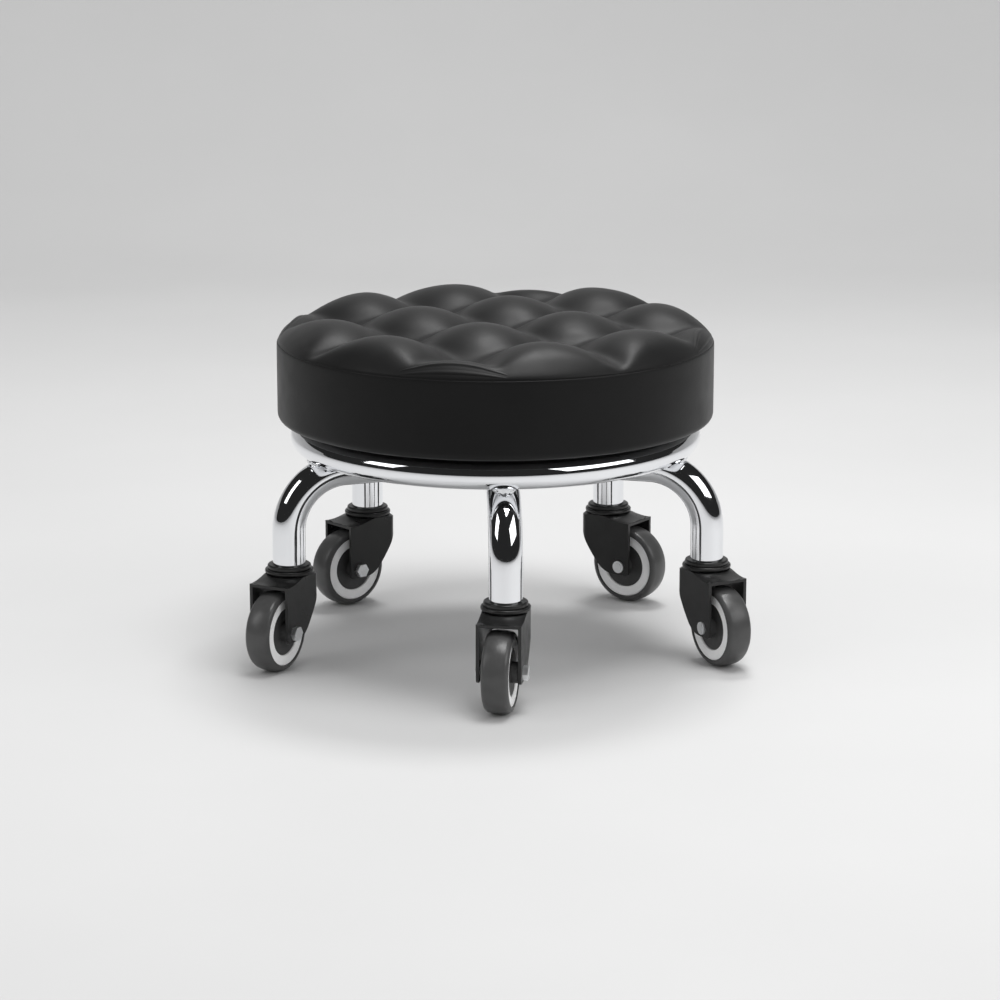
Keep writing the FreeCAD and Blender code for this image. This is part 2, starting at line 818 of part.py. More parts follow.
def caster_caps():
    """Two-step rounded collars over the ball races, with the upper race in their undersides."""
    bore = stem_radius + dim.seat_fit_clearance
    outside = dim.cap_diameter / 2
    upper = outside - dim.cap_step
    waist = cap_bottom + dim.cap_height / 2
    lip = dim.cap_height / 5
    race = dim.caster_race_radius
    groove = dim.caster_ball_diameter / 2 + dim.running_clearance
    groove_half = leg_of_triangle(groove, dim.caster_race_gap / 2)
    low_middle = corner_arc(outside - lip, cap_bottom + lip, lip, 1, -1)
    step_middle = corner_arc(outside - lip, waist - lip, lip, 1, 1)
    foot_middle = corner_arc(upper - lip / 2, waist + lip / 2, lip / 2, 1, -1)
    top_middle = corner_arc(upper - lip, leg_end - lip, lip, 1, 1)
    cap = turned("single_caster_cap", [
        (bore, cap_bottom),
        (race - groove_half, cap_bottom),
        (race + groove_half, cap_bottom, (race, caster_race_level + groove)),
        (outside - lip, cap_bottom),
        (outside, cap_bottom + lip, low_middle),
        (outside, waist - lip),
        (outside - lip, waist, step_middle),
        (upper - lip / 2, waist),
        (upper, waist + lip / 2, foot_middle),
        (upper, leg_end - lip),
        (upper - lip, leg_end, top_middle),
        (bore, leg_end),
    ])
    group("caster_caps", [(cap, CASTERS)])


# Casters: the fork that swivels

def fork_plan(body, name, half, back, corner, front, lift):
    """The fork seen from above: square in front, rounded at the two back corners."""
    left = corner_arc(corner - back, half - corner, corner, -1, 1)
    right = corner_arc(corner - back, corner - half, corner, -1, -1)
    return outline(body, name, "XY_Plane", [
        (front, half),
        (corner - back, half),
        (-back, half - corner, left),
        (-back, corner - half),
        (corner - back, -half, right),
        (front, -half),
    ], lift)


def bulged(start, finish, bulge):
    """The middle of an arc that stands out by bulge to the right of the way from start to finish."""
    run_across = finish[0] - start[0]
    run_along = finish[1] - start[1]
    length = (run_across * run_across + run_along * run_along).root()
    middle_across = (start[0] + finish[0]) / 2
    middle_along = (start[1] + finish[1]) / 2
    return (middle_across + run_along / length * bulge, middle_along - run_across / length * bulge)


def fork_side_cut(body, front, foot):
    """Everything outside the side plates' outline: the tapered back edge, the foot and its rounded corner."""
    corner = dim.fork_foot_radius
    low = foot - 2 * dim.fork_wall
    behind = -dim.fork_back - dim.fork_wall
    taper_top = (-dim.fork_back, axle_height + dim.fork_taper_rise)
    taper_end = (dim.caster_trail - dim.fork_taper_reach, axle_height)
    foot_start = (dim.caster_trail - dim.fork_taper_reach / 4, foot)
    foot_end = (front - corner, foot)
    corner_middle = corner_arc(front - corner, foot + corner, corner, 1, -1)
    return outline(body, "side", "XZ_Plane", [
        taper_top,
        (*taper_end, bulged(taper_top, taper_end, dim.fork_taper_reach / 18)),
        (*foot_start, bulged(taper_end, foot_start, dim.fork_taper_reach / 12)),
        foot_end,
        (front, foot + corner, corner_middle),
        (front + dim.fork_wall, foot + corner),
        (front + dim.fork_wall, low),
        (behind, low),
        (behind, taper_top[1]),
    ])


def caster_fork(index):
    """A pressed hood over the wheel: two side plates, a flared neck under the collar and rolled back edges."""
    body = new_body(f"caster_fork_{index}")
    front = dim.caster_trail + dim.fork_edge
    foot = axle_height - dim.fork_foot
    corner = dim.fork_corner_radius
    start = foot - dim.fork_wall
    block = fork_plan(body, "plan", fork_half, dim.fork_back, corner, front, start)
    pad(body, block, neck_top - start)
    cut_through(body, fork_side_cut(body, front, foot))
    neck = dim.neck_diameter / 2
    flare = dim.flare_diameter / 2
    flare_middle = (neck + (flare - neck) * 0.3, fork_top + dim.neck_rise * 0.25)
    turn_away(body, outline(body, "flare", "XZ_Plane", [
        (neck, neck_top),
        (flare, fork_top, flare_middle),
        (flare + dim.fork_wall, fork_top),
        (flare + dim.fork_wall, neck_top + dim.fork_wall),
        (neck, neck_top + dim.fork_wall),
    ]))
    wall = dim.fork_wall
    hollow = fork_plan(body, "hollow", fork_inside, dim.fork_back - wall, corner - wall, front + wall, fork_roof)
    cut_down(body, hollow, fork_roof - start + wall)
    window = dim.fork_window_width / 2
    sill = fork_roof - dim.fork_wall
    cut_through(body, outline(body, "window", "YZ_Plane", [
        (window, sill), (-window, sill), (-window, start), (window, start),
    ]), "One side")
    axle = dim.axle_diameter / 2 + dim.bolt_clearance
    cut_through(body, circles(body, "axle", "XZ_Plane", [(dim.caster_trail, axle_height)], axle))
    cut_through(body, circles(body, "stem", "XY_Plane", [(0, 0)], stem_radius + dim.running_clearance))
    race = new_sketch(body, "race", "XZ_Plane")
    groove = dim.caster_ball_diameter / 2 + dim.running_clearance
    draw_circle(race, (dim.caster_race_radius, caster_race_level), groove)
    turn_away(body, race)
    body.Placement = caster_placement(index)
    keep(body)


def hexagon(width, height, level):
    """A hexagonal prism along +Y, its width given across the flats."""
    corner = width / math.sqrt(3)
    corners = []
    for step in range(7):
        angle = math.pi * step / 3
        corners.append(FreeCAD.Vector(corner * math.cos(angle), level, corner * math.sin(angle)))
    return Part.Face(Part.makePolygon(corners)).extrude(FreeCAD.Vector(0, height, 0))


def axle_fasteners(index):
    """The axle bolt and the flat ring pushed on its far end."""
    radius = dim.axle_diameter.value / 2
    outside = fork_half.value
    ring_face = -outside - dim.axle_ring_thickness.value
    tip = ring_face - dim.axle_end.value
    along = FreeCAD.Vector(0, 1, 0)
    shank = Part.makeCylinder(radius, outside - tip, FreeCAD.Vector(0, tip, 0), along)
    head = hexagon(dim.axle_head_width.value, dim.axle_head_height.value, outside)
    bolt = one_solid(head.fuse(shank))
    ring_foot = FreeCAD.Vector(0, ring_face, 0)
    thickness = dim.axle_ring_thickness.value
    disc = Part.makeCylinder(dim.axle_ring_diameter.value / 2, thickness, ring_foot, along)
    bore = Part.makeCylinder(radius + dim.seat_fit_clearance.value, thickness, ring_foot, along)
    pieces = Part.makeCompound([bolt, one_solid(disc.cut(bore))])
    feature = solid_node(f"axle_fasteners_{index}", pieces)
    feature.Placement = wheel_placement(index)


def place_wheel_piece(body, index):
    body.Placement = wheel_placement(index)
    keep(body)


def axle_sleeve(index):
    """The tube on the bolt, clamped between the fork's sides, that the wheel turns on."""
    bore = dim.axle_diameter / 2 + dim.running_clearance
    outside = dim.sleeve_diameter / 2
    points = [(bore, -fork_inside), (outside, -fork_inside), (outside, fork_inside), (bore, fork_inside)]
    place_wheel_piece(turned(f"axle_sleeve_{index}", points, "XY_Plane"), index)


# Casters: the wheel

def tyre(index):
    """A rubber tyre with a crowned tread that runs into round shoulders."""
    tread = dim.wheel_diameter / 2
    inside = dim.core_diameter / 2 + dim.seat_fit_clearance
    side = dim.wheel_width / 2
    tread_half = dim.tread_width / 2
    tread_edge = tread - dim.tread_crown
    upper_edge, lower_edge = (tread_edge, tread_half), (tread_edge, -tread_half)
    upper_lip, lower_lip = (inside, side), (inside, -side)
    place_wheel_piece(turned(f"tyre_{index}", [
        upper_lip,
        (*upper_edge, bulged(upper_edge, upper_lip, dim.shoulder_bulge)),
        (*lower_edge, (tread, 0)),
        (*lower_lip, bulged(lower_lip, lower_edge, dim.shoulder_bulge)),
    ], "XY_Plane"), index)


def wheel_core(index):
    """The pale plastic core: a ring that shows at each side, a recessed web and a long hub."""
    outside = dim.core_diameter / 2
    face = dim.core_width / 2
    recess = dim.hub_recess_diameter / 2
    web = face - dim.hub_recess_depth
    boss = dim.hub_boss_diameter / 2
    hub_end = fork_inside - dim.wheel_end_play
    bore = dim.sleeve_diameter / 2 + dim.running_clearance
    chamfer = dim.edge_chamfer
    half = [
        (outside, face - chamfer),
        (outside - chamfer, face),
        (recess + chamfer, face),
        (recess, face - chamfer),
        (recess, web),
        (boss, web),
        (boss, hub_end),
        (bore, hub_end),
    ]
    mirrored = [(radius, -level) for radius, level in reversed(half)]
    place_wheel_piece(turned(f"wheel_core_{index}", half + mirrored, "XY_Plane"), index)


def hub_covers(index, cover):
    """The two dark discs that close the core's recesses."""
    face_out = wheel_placement(index)
    face_back = face_out.multiply(place(turn_degrees=180.0))
    group(f"hub_covers_{index}", [(cover, [face_out, face_back])])


def single_hub_cover():
    web = dim.core_width / 2 - dim.hub_recess_depth
    inside = dim.hub_boss_diameter / 2 + dim.seat_fit_clearance
    outside = dim.hub_recess_diameter / 2 - dim.seat_fit_clearance
    top = web + dim.hub_cover_thickness
    rise = dim.hub_cover_thickness / 3
    return turned("single_hub_cover", [
        (inside, web),
        (outside, web),
        (outside, top - rise),
        (outside - rise, top),
        (inside, top),
    ], "XY_Plane")


# The stool

seat_top_cover()
seat_side_band()
seat_foam()
seat_board()
seat_dust_cover()
seat_fasteners()
swivel_plate("swivel_upper_plate", 1)
swivel_plate("swivel_lower_plate", -1)
swivel_eyelet()
bearing_balls()
hub_plate()
hub_core()
tie_ring()
ring_welds()
leg_inserts()
caster_stems()
caster_caps()
hub_cover = single_hub_cover()
for number in LEGS:
    leg(number)
    caster_fork(number)
    axle_fasteners(number)
    axle_sleeve(number)
    tyre(number)
    wheel_core(number)
    hub_covers(number, hub_cover)


# Checks and files

doc.recompute()
for item in doc.Objects:
    if "Invalid" in item.State or "Error" in item.State:
        raise RuntimeError(f"{item.Name} failed: {item.State}")
for node in nodes:
    if node.Shape.isNull() or not node.Shape.isValid() or not node.Shape.Solids:
        raise RuntimeError(f"{node.Label} has no sound shape")
os.makedirs("parts", exist_ok=True)
for node in nodes:
    node.Shape.exportStep(f"parts/{node.Label}.step")
print(f"{len(nodes)} pieces, seat rim at {seat_rim.value:.2f} mm, ring centre at {ring_level.value:.2f} mm")
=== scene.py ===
"""Looks of the low rolling stool: tufted vinyl seat, chrome frame and black casters in a pale studio."""

import json
import math

import bmesh
import bpy
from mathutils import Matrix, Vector, noise as cloud
from mathutils.bvhtree import BVHTree


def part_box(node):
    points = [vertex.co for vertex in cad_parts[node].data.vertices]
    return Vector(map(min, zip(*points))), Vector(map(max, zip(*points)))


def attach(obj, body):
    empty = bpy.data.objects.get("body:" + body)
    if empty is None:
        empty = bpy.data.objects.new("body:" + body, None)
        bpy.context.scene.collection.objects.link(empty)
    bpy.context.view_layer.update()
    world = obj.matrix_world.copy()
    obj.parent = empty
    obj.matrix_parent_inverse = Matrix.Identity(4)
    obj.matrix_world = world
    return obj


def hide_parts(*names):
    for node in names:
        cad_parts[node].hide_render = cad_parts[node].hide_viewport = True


MM = 0.001

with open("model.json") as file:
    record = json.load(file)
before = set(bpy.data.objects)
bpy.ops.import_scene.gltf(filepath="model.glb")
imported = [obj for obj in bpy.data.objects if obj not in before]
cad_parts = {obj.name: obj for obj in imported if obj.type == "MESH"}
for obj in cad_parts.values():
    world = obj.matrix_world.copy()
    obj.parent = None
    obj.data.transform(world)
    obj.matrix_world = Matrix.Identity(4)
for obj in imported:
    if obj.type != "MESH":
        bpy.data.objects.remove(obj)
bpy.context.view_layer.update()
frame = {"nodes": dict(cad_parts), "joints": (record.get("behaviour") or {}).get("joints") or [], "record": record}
scene = bpy.context.scene
scene.view_settings.view_transform = "Standard"


# Material helpers

NOISE_LOW = 0.3
NOISE_HIGH = 0.7


def new_material(name, color, roughness, metallic=0.0, specular=0.5):
    material = bpy.data.materials.new(name)
    material.use_nodes = True
    shader = shader_of(material)
    shader.inputs["Base Color"].default_value = (*color, 1.0)
    shader.inputs["Roughness"].default_value = roughness
    shader.inputs["Metallic"].default_value = metallic
    shader.inputs["Specular IOR Level"].default_value = specular
    return material


def shader_of(material):
    return material.node_tree.nodes["Principled BSDF"]


def place_node(material, stretch=(1.0, 1.0, 1.0)):
    """Where a point is on its own piece, in metres, stretched for streaks."""
    tree = material.node_tree
    where = tree.nodes.new("ShaderNodeTexCoord")
    stretched = tree.nodes.new("ShaderNodeVectorMath")
    stretched.operation = "MULTIPLY"
    stretched.inputs[1].default_value = stretch
    tree.links.new(where.outputs["Object"], stretched.inputs[0])
    return stretched.outputs[0]


def noise(material, size, detail=4.0, stretch=(1.0, 1.0, 1.0)):
    """Cloudy noise whose features are about size metres across."""
    tree = material.node_tree
    texture = tree.nodes.new("ShaderNodeTexNoise")
    texture.inputs["Scale"].default_value = 1.0 / size
    texture.inputs["Detail"].default_value = detail
    tree.links.new(place_node(material, stretch), texture.inputs["Vector"])
    return texture.outputs["Fac"]


def cells(material, size):
    """Pebbled cells about size metres across."""
    tree = material.node_tree
    texture = tree.nodes.new("ShaderNodeTexVoronoi")
    texture.feature = "SMOOTH_F1"
    texture.inputs["Scale"].default_value = 1.0 / size
    tree.links.new(place_node(material), texture.inputs["Vector"])
    return texture.outputs["Distance"]


def vary_color(material, source, low, high):
    """Lets the colour run from low to high with a noise."""
    tree = material.node_tree
    ramp = tree.nodes.new("ShaderNodeValToRGB")
    ramp.color_ramp.elements[0].position = NOISE_LOW
    ramp.color_ramp.elements[1].position = NOISE_HIGH
    ramp.color_ramp.elements[0].color = (*low, 1.0)
    ramp.color_ramp.elements[1].color = (*high, 1.0)
    tree.links.new(source, ramp.inputs["Fac"])
    tree.links.new(ramp.outputs["Color"], shader_of(material).inputs["Base Color"])


def vary_roughness(material, source, low, high):
    """Lets the roughness run from low to high with a noise."""
    tree = material.node_tree
    spread = tree.nodes.new("ShaderNodeMapRange")
    spread.inputs["From Min"].default_value = NOISE_LOW
    spread.inputs["From Max"].default_value = NOISE_HIGH
    spread.inputs["To Min"].default_value = low
    spread.inputs["To Max"].default_value = high
    tree.links.new(source, spread.inputs["Value"])
    tree.links.new(spread.outputs["Result"], shader_of(material).inputs["Roughness"])


def add_bump(material, source, depth, strength):
    """Adds relief over any relief that the material already has."""
    tree = material.node_tree
    bump = tree.nodes.new("ShaderNodeBump")
    bump.inputs["Distance"].default_value = depth
    bump.inputs["Strength"].default_value = strength
    tree.links.new(source, bump.inputs["Height"])
    normal = shader_of(material).inputs["Normal"]
    if normal.is_linked:
        tree.links.new(normal.links[0].from_socket, bump.inputs["Normal"])
    tree.links.new(bump.outputs["Normal"], normal)


def gray(level):
    return (level, level, level)


# Materials

def vinyl():
    """Black vinyl with a fine pebbled grain and a faint sheen where it is seen at a low angle."""
    material = new_material("black_vinyl", gray(0.005), roughness=0.44, specular=0.17)
    vary_color(material, noise(material, 60 * MM), (0.0042, 0.0042, 0.0043), (0.0058, 0.0058, 0.0059))
    vary_roughness(material, noise(material, 20 * MM), 0.41, 0.48)
    add_bump(material, cells(material, 1.1 * MM), depth=0.1 * MM, strength=0.3)
    add_bump(material, noise(material, 6 * MM), depth=0.2 * MM, strength=0.12)
    shader = shader_of(material)
    shader.inputs["Sheen Weight"].default_value = 0.06
    shader.inputs["Sheen Roughness"].default_value = 0.5
    return material


def chrome():
    material = new_material("polished_chrome", (0.86, 0.87, 0.89), roughness=0.05, metallic=1.0)
    vary_roughness(material, noise(material, 30 * MM), 0.03, 0.075)
    add_bump(material, noise(material, 12 * MM, detail=2.0), depth=0.05 * MM, strength=0.06)
    return material


def weld_chrome():
    material = new_material("chromed_weld", (0.8, 0.81, 0.83), roughness=0.12, metallic=1.0)
    vary_roughness(material, noise(material, 4 * MM), 0.08, 0.2)
    add_bump(material, noise(material, 2.5 * MM, detail=2.0), depth=0.5 * MM, strength=0.5)
    return material


def black_steel():
    material = new_material("black_coated_steel", gray(0.011), roughness=0.33, specular=0.45)
    vary_color(material, noise(material, 20 * MM), gray(0.009), gray(0.014))
    vary_roughness(material, noise(material, 8 * MM), 0.27, 0.39)
    add_bump(material, noise(material, 1.2 * MM, detail=2.0), depth=0.06 * MM, strength=0.25)
    return material


def zinc_steel():
    material = new_material("zinc_plated_steel", (0.92, 0.93, 0.94), roughness=0.4, metallic=1.0)
    vary_color(material, noise(material, 6 * MM), (0.88, 0.89, 0.9), (0.95, 0.96, 0.97))
    vary_roughness(material, noise(material, 3 * MM), 0.34, 0.46)
    add_bump(material, noise(material, 0.8 * MM), depth=0.03 * MM, strength=0.3)
    return material


def tyre_rubber():
    material = new_material("tyre_rubber", gray(0.056), roughness=0.33)
    vary_color(material, noise(material, 15 * MM), gray(0.049), gray(0.063))
    vary_roughness(material, noise(material, 6 * MM), 0.28, 0.38)
    add_bump(material, noise(material, 1.2 * MM), depth=0.08 * MM, strength=0.3)
    return material


def core_plastic():
    material = new_material("pale_core_plastic", gray(0.9), roughness=0.42)
    vary_color(material, noise(material, 10 * MM), gray(0.87), gray(0.93))
    vary_roughness(material, noise(material, 4 * MM), 0.36, 0.5)
    add_bump(material, noise(material, 0.9 * MM), depth=0.04 * MM, strength=0.25)
    return material


def hub_plastic():
    material = new_material("dark_hub_plastic", gray(0.04), roughness=0.48)
    vary_color(material, noise(material, 10 * MM), gray(0.033), gray(0.048))
    vary_roughness(material, noise(material, 4 * MM), 0.42, 0.56)
    add_bump(material, noise(material, 0.9 * MM), depth=0.06 * MM, strength=0.3)
    return material


def plug_plastic():
    material = new_material("plug_plastic", gray(0.045), roughness=0.55)
    vary_color(material, noise(material, 8 * MM), gray(0.035), gray(0.055))
    add_bump(material, noise(material, 1 * MM), depth=0.06 * MM, strength=0.3)
    return material


def dust_cloth():
    material = new_material("non_woven_cloth", gray(0.02), roughness=0.9, specular=0.2)
    vary_color(material, noise(material, 2 * MM), gray(0.014), gray(0.034))
    add_bump(material, noise(material, 0.7 * MM), depth=0.3 * MM, strength=0.8)
    add_bump(material, cells(material, 2.4 * MM), depth=0.2 * MM, strength=0.5)
    return material


def plywood():
    material = new_material("plywood", (0.5, 0.34, 0.19), roughness=0.65)
    grain = noise(material, 12 * MM, detail=6.0, stretch=(1.0, 0.06, 1.0))
    vary_color(material, grain, (0.42, 0.27, 0.14), (0.6, 0.43, 0.26))
    add_bump(material, grain, depth=0.2 * MM, strength=0.4)
    return material


def foam():
    material = new_material("seat_foam", (0.7, 0.63, 0.42), roughness=0.95)
    vary_color(material, noise(material, 3 * MM), (0.62, 0.55, 0.35), (0.76, 0.7, 0.5))
    add_bump(material, cells(material, 1.5 * MM), depth=0.4 * MM, strength=0.7)
    return material


SLOT_MATERIALS = {
    "vinyl": vinyl(),
    "foam": foam(),
    "plywood": plywood(),
    "dust_cloth": dust_cloth(),
    "chrome": chrome(),
    "weld": weld_chrome(),
    "zinc_steel": zinc_steel(),
    "black_steel": black_steel(),
    "plug_plastic": plug_plastic(),
    "tyre_rubber": tyre_rubber(),
    "core_plastic": core_plastic(),
    "hub_plastic": hub_plastic(),
}
for entry in frame["record"]["subparts"]:
    node_mesh = frame["nodes"][entry["node"]].data
    node_mesh.materials.clear()
    node_mesh.materials.append(SLOT_MATERIALS[entry["material_slot"]])


# Mesh helpers

def add_piece(name, verts, faces, material, body):
    """A smooth piece that rides on a body."""
    mesh = bpy.data.meshes.new(name)
    mesh.from_pydata([tuple(vert) for vert in verts], [], faces)
    mesh.validate()
    mesh.shade_smooth()
    mesh.materials.append(material)
    piece = bpy.data.objects.new(name, mesh)
    scene.collection.objects.link(piece)
    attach(piece, body)
    return piece


def subdivide(piece, levels):
    modifier = piece.modifiers.new("smooth", "SUBSURF")
    modifier.levels = levels
    modifier.render_levels = levels


def ring_faces(rings, count, closed=False):
    """Quads between rings of count points each, in order."""
    faces = []
    pairs = rings if closed else rings - 1
    for ring in range(pairs):
        after = (ring + 1) % rings
        for step in range(count):
            following = (step + 1) % count
            faces.append((
                ring * count + step,
                ring * count + following,
                after * count + following,
                after * count + step,
            ))
    return faces


# Seat sizes

band_low, band_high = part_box("seat_side_band")
SEAT_RADIUS = band_high.x
SEAT_BOTTOM = band_low.z
SEAT_RIM = band_high.z
BOARD_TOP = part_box("seat_board")[1].z
SKIN = 1.5 * MM

# Tufts, on a square grid
TUFT_PITCH = 85.5 * MM
TUFTS_ACROSS = 4
TUFT_TURN = math.radians(31.5)
TUFT_SLOPE = 0.60
TUFT_ROUND = 24.0 * MM
TUFT_FLOOR = 1.0 * MM
STITCH_DEPTH = 18.0 * MM
VALLEY_SOFTNESS = 2.0 * MM
EDGE_STRETCH = 2.0
CORNER_CREST = 20.5 * MM

# Crown over the tufts, and the roll down to the rim
CROWN_RISE = 22.7 * MM
CROWN_FALL = 3.5 * MM
CROWN_POWER = 5
RIM_ROLL_WIDTH = 43.0 * MM
RIM_ROLL_HEIGHT = 22.5 * MM
ROLL_SOFTNESS = 4.0 * MM
LEAST_BLEND = 0.01 * MM

# Cover that swells over the foam
PAD_CELLS = 88
SWELL = 2.0 * MM
SWELL_CAP = 4.0 * MM
SWELL_FRAMES = 20
COVER_QUALITY = 6
COVER_MASS = 0.002
COVER_PRESSURE = 1500.0
COVER_STIFFNESS = 4.0
COVER_BENDING = 0.1
RIM_HOLD_START = 12.0 * MM
RIM_HOLD_WIDTH = 10.0 * MM
LEAST_HOLD = 0.02
FOOT_CLEARANCE = 0.3 * MM

# Side band, as (inset from the seat's radius, drop from its rim)
BAND_UPPER = [
    (2.2 * MM, 4.0 * MM),
    (1.5 * MM, 1.2 * MM),
    (1.1 * MM, 0.2 * MM),
    (0.5 * MM, 0.3 * MM),
    (0.1 * MM, 1.1 * MM),
    (0.0, 2.5 * MM),
    (0.0, 10.0 * MM),
    (0.0, 25.0 * MM),
    (0.0, 40.0 * MM),
]
BAND_FOOT_ROUND = 5.0 * MM
BAND_FOOT_LEAD = 3.0 * MM
BAND_FOOT_STEPS = 6
BAND_SEGMENTS = 240

# The band's fold under the board and its inner face, as (inset, rise from the seat's bottom)
BAND_FOLD = [
    (15.0 * MM, 0.0),
    (27.0 * MM, 0.0),
    (28.0 * MM, 0.4 * MM),
    (28.0 * MM, SKIN),
    (BAND_FOOT_ROUND, SKIN),
    (2.0 * MM, BAND_FOOT_ROUND),
    (1.7 * MM, 12.0 * MM),
]

# Corner pleats, with the section of their two ridges as (way outward, height over the pad)
PLEAT_INSET = 11.0 * MM
PLEAT_END_INSET = 3.0 * MM
PLEAT_END_WIDTH = 0.2
PLEAT_SPREAD = math.radians(14.5)
PLEAT_STEPS = 48
PLEAT_SINK = 0.1 * MM
PLEAT_SECTION = [
    (-3.0 * MM, -0.6 * MM),
    (-2.6 * MM, 0.1 * MM),
    (-1.2 * MM, 0.5 * MM),
    (0.4 * MM, 1.0 * MM),
    (1.3 * MM, 1.05 * MM),
    (1.9 * MM, 0.5 * MM),
    (2.5 * MM, 0.1 * MM),
    (5.2 * MM, 0.0 * MM),
    (6.8 * MM, 0.8 * MM),
    (7.5 * MM, 0.85 * MM),
    (8.2 * MM, 0.2 * MM),
    (8.5 * MM, -0.6 * MM),
]


# Seat cushion

def crest_height(reach):
    """Height of the tufts' crests over the rim, which falls off towards the edge."""
    return CROWN_RISE - CROWN_FALL * (reach / SEAT_RADIUS) ** CROWN_POWER


def tuft_places():
    """The middles of the tufts with their crests, ways outward and stretches, on a turned square grid."""
    places = []
    middle = (TUFTS_ACROSS - 1) / 2
    for column in range(TUFTS_ACROSS):
        for line in range(TUFTS_ACROSS):
            across = (column - middle) * TUFT_PITCH
            along = (line - middle) * TUFT_PITCH
            x = across * math.cos(TUFT_TURN) - along * math.sin(TUFT_TURN)
            y = across * math.sin(TUFT_TURN) + along * math.cos(TUFT_TURN)
            reach = math.hypot(x, y)
            crest = CORNER_CREST if reach > SEAT_RADIUS else crest_height(reach)
            stretch = EDGE_STRETCH if reach > TUFT_PITCH else 1.0
            places.append((x, y, crest, x / reach, y / reach, stretch))
    return places


TUFTS = tuft_places()


def smooth_least(first, second, blend):
    """The lesser of two heights, with the change between them rounded off over blend."""
    share = min(max(0.5 + 0.5 * (second - first) / blend, 0.0), 1.0)
    return second + (first - second) * share - blend * share * (1.0 - share)


def tufted_height(x, y):
    """Round mounds over the rim that meet in soft valleys. The outer ones run on outwards."""
    total = math.exp(TUFT_FLOOR / VALLEY_SOFTNESS)
    for tuft_x, tuft_y, crest, way_x, way_y, stretch in TUFTS:
        outward = (x - tuft_x) * way_x + (y - tuft_y) * way_y
        sideways = (y - tuft_y) * way_x - (x - tuft_x) * way_y
        if outward > 0.0:
            outward /= stretch
        off = math.hypot(outward, sideways)
        mound = crest - TUFT_SLOPE * (math.hypot(off, TUFT_ROUND) - TUFT_ROUND)
        total += math.exp(mound / VALLEY_SOFTNESS)
    return VALLEY_SOFTNESS * math.log(total)


def cushion_height(x, y):
    """Height of the sewn top over the rim: tufts under a crown, and an arc that rolls down to the rim."""
    reach = math.hypot(x, y)
    tufted = tufted_height(x, y)
    past_crest = reach - SEAT_RADIUS + RIM_ROLL_WIDTH
    if past_crest <= 0.0:
        return tufted
    arc = (RIM_ROLL_WIDTH ** 2 + RIM_ROLL_HEIGHT ** 2) / (2 * RIM_ROLL_HEIGHT)
    roll = RIM_ROLL_HEIGHT - arc + math.sqrt(arc ** 2 - past_crest ** 2)
    from_rim = min(max((SEAT_RADIUS - reach) / (2 * ROLL_SOFTNESS), 0.0), 1.0)
    blend = ROLL_SOFTNESS * from_rim + LEAST_BLEND
    return max(smooth_least(tufted, roll, blend), 0.0)


def disc_point(across, along):
    """A point of the unit square as a point of the unit disc, squares becoming circles."""
    if across == 0.0 and along == 0.0:
        return 0.0, 0.0
    if abs(across) > abs(along):
        radius = across
        angle = math.pi / 4 * along / across
    else:
        radius = along
        angle = math.pi / 2 - math.pi / 4 * across / along
    return radius * math.cos(angle), radius * math.sin(angle)


def disc_grid(radius):
    """A square grid of quads drawn out into a disc: its points, its faces and its border in order."""
    count = PAD_CELLS + 1
    points = []
    for line in range(count):
        for column in range(count):
            x, y = disc_point(2 * column / PAD_CELLS - 1, 2 * line / PAD_CELLS - 1)
            points.append((x * radius, y * radius))
    faces = []
    for line in range(PAD_CELLS):
        for column in range(PAD_CELLS):
            low = line * count + column
            faces.append((low, low + 1, low + 1 + count, low + count))
    border = list(range(PAD_CELLS))
    border += [line * count + PAD_CELLS for line in range(PAD_CELLS)]
    border += [PAD_CELLS * count + column for column in range(PAD_CELLS, 0, -1)]
    border += [line * count for line in range(PAD_CELLS, 0, -1)]
    return points, faces, border


def swell_weight(x, y):
    """How firmly the cover is held: 1 at the sewn pits and the rim, little on the crests."""
    reach = math.hypot(x, y)
    held = (crest_height(reach) - tufted_height(x, y)) / STITCH_DEPTH
    rim = (reach - SEAT_RADIUS + RIM_HOLD_START) / RIM_HOLD_WIDTH
    return min(max(held * abs(held), rim, LEAST_HOLD), 1.0)


def swollen_cover(points, faces):
    """The top cover, let swell over its foam as cloth under pressure and held at its stitches."""
    start = []
    for x, y in points:
        sunk = SWELL * (1.0 - swell_weight(x, y)) * min(cushion_height(x, y) / CROWN_RISE, 1.0)
        start.append(Vector((x, y, SEAT_RIM + cushion_height(x, y) - sunk)))
    mesh = bpy.data.meshes.new("cover_sheet")
    mesh.from_pydata(start, [], faces)
    sheet = bpy.data.objects.new("cover_sheet", mesh)
    scene.collection.objects.link(sheet)
    pins = sheet.vertex_groups.new(name="pins")
    for index, (x, y) in enumerate(points):
        pins.add([index], swell_weight(x, y), "REPLACE")
    cloth = sheet.modifiers.new("cloth", "CLOTH")
    settings = cloth.settings
    settings.quality = COVER_QUALITY
    settings.mass = COVER_MASS
    settings.tension_stiffness = COVER_STIFFNESS
    settings.compression_stiffness = COVER_STIFFNESS
    settings.shear_stiffness = COVER_STIFFNESS
    settings.bending_stiffness = COVER_BENDING
    settings.use_pressure = True
    settings.uniform_pressure_force = COVER_PRESSURE
    settings.vertex_group_mass = "pins"
    settings.effector_weights.gravity = 0.0
    cloth.point_cache.frame_start = 1
    cloth.point_cache.frame_end = SWELL_FRAMES
    for step in range(1, SWELL_FRAMES + 1):
        scene.frame_set(step)
    graph = bpy.context.evaluated_depsgraph_get()
    moved = [vert.co.copy() for vert in sheet.evaluated_get(graph).data.vertices]
    scene.frame_set(1)
    bpy.data.objects.remove(sheet)
    bpy.data.meshes.remove(mesh)
    return [capped(was, now) for was, now in zip(start, moved)]


